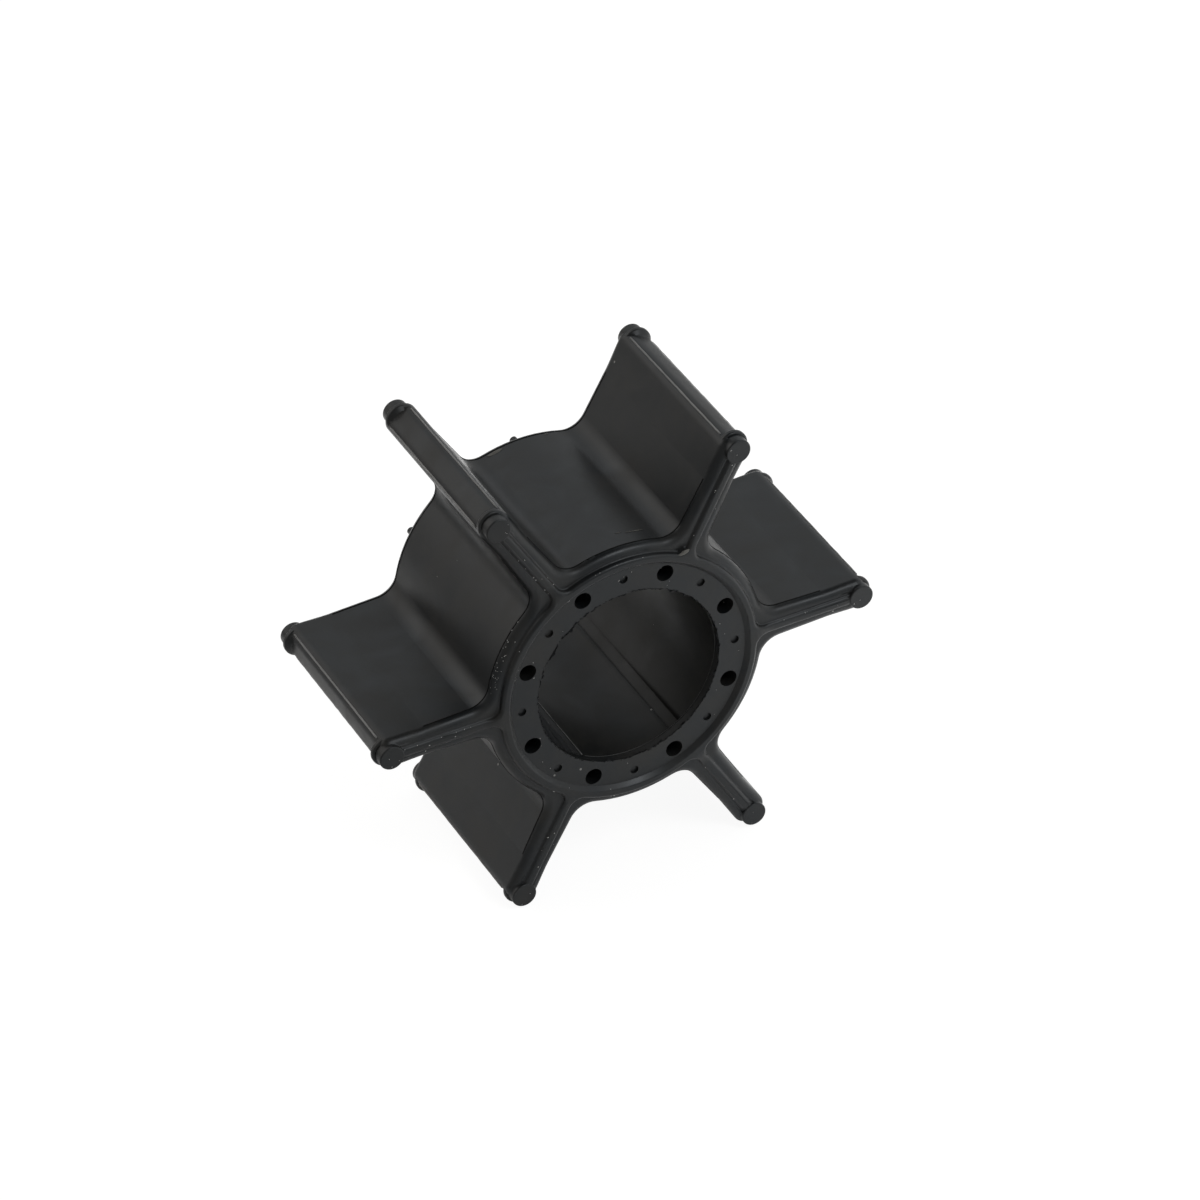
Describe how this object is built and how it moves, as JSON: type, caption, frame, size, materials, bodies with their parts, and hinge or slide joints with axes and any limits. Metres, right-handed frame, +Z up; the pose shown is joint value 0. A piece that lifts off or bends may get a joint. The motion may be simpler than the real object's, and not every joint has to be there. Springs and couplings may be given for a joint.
{
  "type": "rubber pump impeller",
  "caption": "Flexible rubber impeller for a raw-water cooling pump: straight vanes with beaded tips round a hub with a keyed bore.",
  "frame": {"origin": "centre of the bore, midway between the two end faces", "axes": "+Y along the bore axis toward the back end, where the nibs and the open end of the keyway are; +Z up, the wheel standing on two vanes; +X along a vane"},
  "size_m": [0.0606, 0.0273, 0.0528],
  "materials": {
    "rubber": "satin",
    "bush_plastic": "satin"
  },
  "bodies": {
    "root": {"rubber_impeller": "rubber", "hub_bush": "bush_plastic"}
  },
  "joints": []
}
